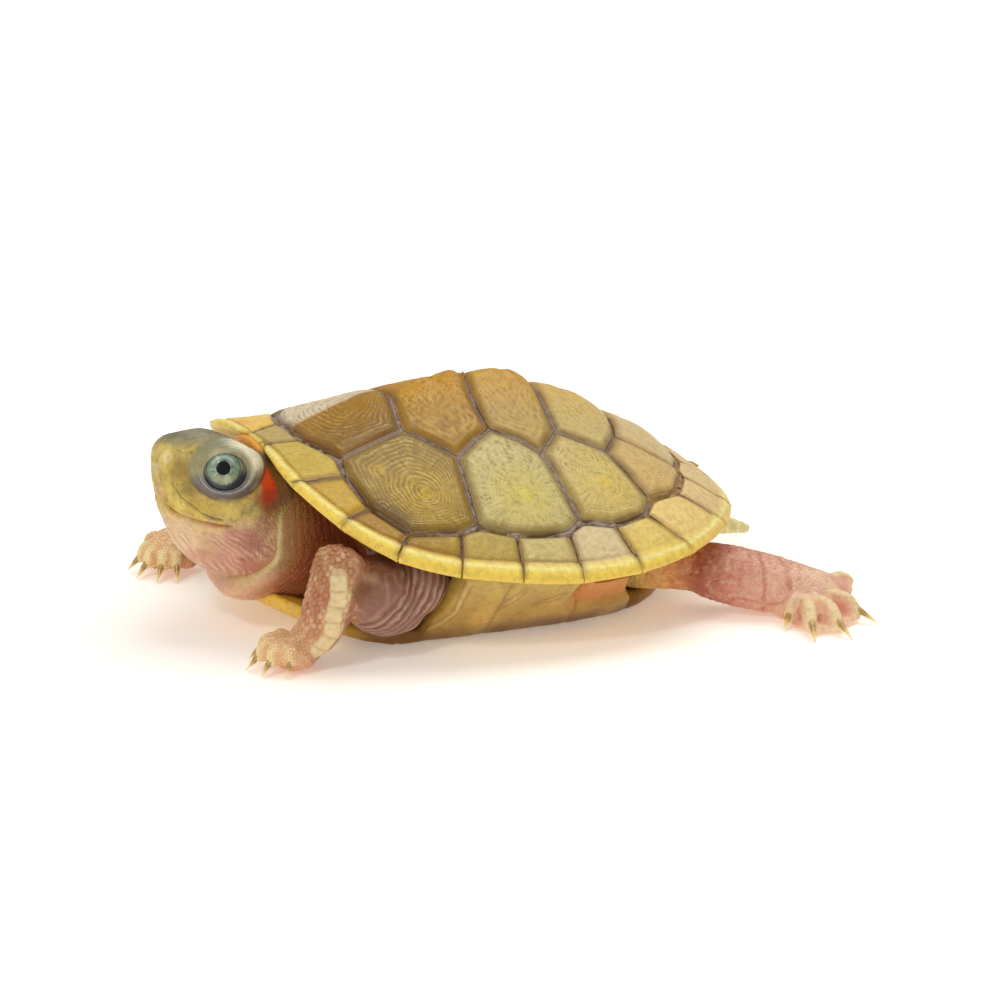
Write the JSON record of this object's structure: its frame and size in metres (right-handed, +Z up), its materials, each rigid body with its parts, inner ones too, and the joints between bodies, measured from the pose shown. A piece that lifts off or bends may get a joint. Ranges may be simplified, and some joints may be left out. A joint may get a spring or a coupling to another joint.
{
  "type": "red-eared slider hatchling model",
  "caption": "Life-size still model of a pale red-eared slider hatchling turtle, lying on its plastron with its head raised, forelegs planted and one hind leg stretched back.",
  "frame": {"origin": "on the floor under the middle of the shell, in the flat underside of the plastron", "axes": "-Y points forward, past the head; +X is the animal's left; +Z is up"},
  "size_m": [0.0376, 0.0425, 0.0147],
  "materials": {
    "vertebral_horn": "satin horn, warm olive brown with fine growth lines",
    "costal_horn": "satin horn, olive yellow with a paler growth centre",
    "marginal_horn": "satin horn, yellow with a browner inner band and a glossy rim",
    "plastron_horn": "smooth horn, clear yellow",
    "body_skin": "soft wrinkled skin, pinkish brown",
    "head_skin": "fine moist skin, olive yellow above and pink below",
    "leg_skin": "scaly skin, pink with cream bands and toes",
    "eye": "wet gloss, pale blue-green iris round a black pupil"
  },
  "bodies": {
    "root": {"costal_left_1": "costal_horn", "costal_left_2": "costal_horn", "costal_left_3": "costal_horn", "costal_left_4": "costal_horn", "costal_right_1": "costal_horn", "costal_right_2": "costal_horn", "costal_right_3": "costal_horn", "costal_right_4": "costal_horn", "eye_left": "eye", "eye_right": "eye", "foot_front_left": "leg_skin", "foot_front_right": "leg_skin", "foot_hind_left": "leg_skin", "foot_hind_right": "leg_skin", "head": "head_skin", "leg_front_left_lower": "leg_skin", "leg_front_left_upper": "leg_skin", "leg_front_right_lower": "leg_skin", "leg_front_right_upper": "leg_skin", "leg_hind_left_lower": "leg_skin", "leg_hind_left_upper": "leg_skin", "leg_hind_right_lower": "leg_skin", "leg_hind_right_upper": "leg_skin", "marginal_left_1": "marginal_horn", "marginal_left_10": "marginal_horn", "marginal_left_11": "marginal_horn", "marginal_left_12": "marginal_horn", "marginal_left_2": "marginal_horn", "marginal_left_3": "marginal_horn", "marginal_left_4": "marginal_horn", "marginal_left_5": "marginal_horn", "marginal_left_6": "marginal_horn", "marginal_left_7": "marginal_horn", "marginal_left_8": "marginal_horn", "marginal_left_9": "marginal_horn", "marginal_right_1": "marginal_horn", "marginal_right_10": "marginal_horn", "marginal_right_11": "marginal_horn", "marginal_right_12": "marginal_horn", "marginal_right_2": "marginal_horn", "marginal_right_3": "marginal_horn", "marginal_right_4": "marginal_horn", "marginal_right_5": "marginal_horn", "marginal_right_6": "marginal_horn", "marginal_right_7": "marginal_horn", "marginal_right_8": "marginal_horn", "marginal_right_9": "marginal_horn", "neck": "body_skin", "nuchal": "marginal_horn", "plastron": "plastron_horn", "tail": "body_skin", "trunk": "body_skin", "vertebral_1": "vertebral_horn", "vertebral_2": "vertebral_horn", "vertebral_3": "vertebral_horn", "vertebral_4": "vertebral_horn", "vertebral_5": "vertebral_horn"}
  },
  "joints": []
}
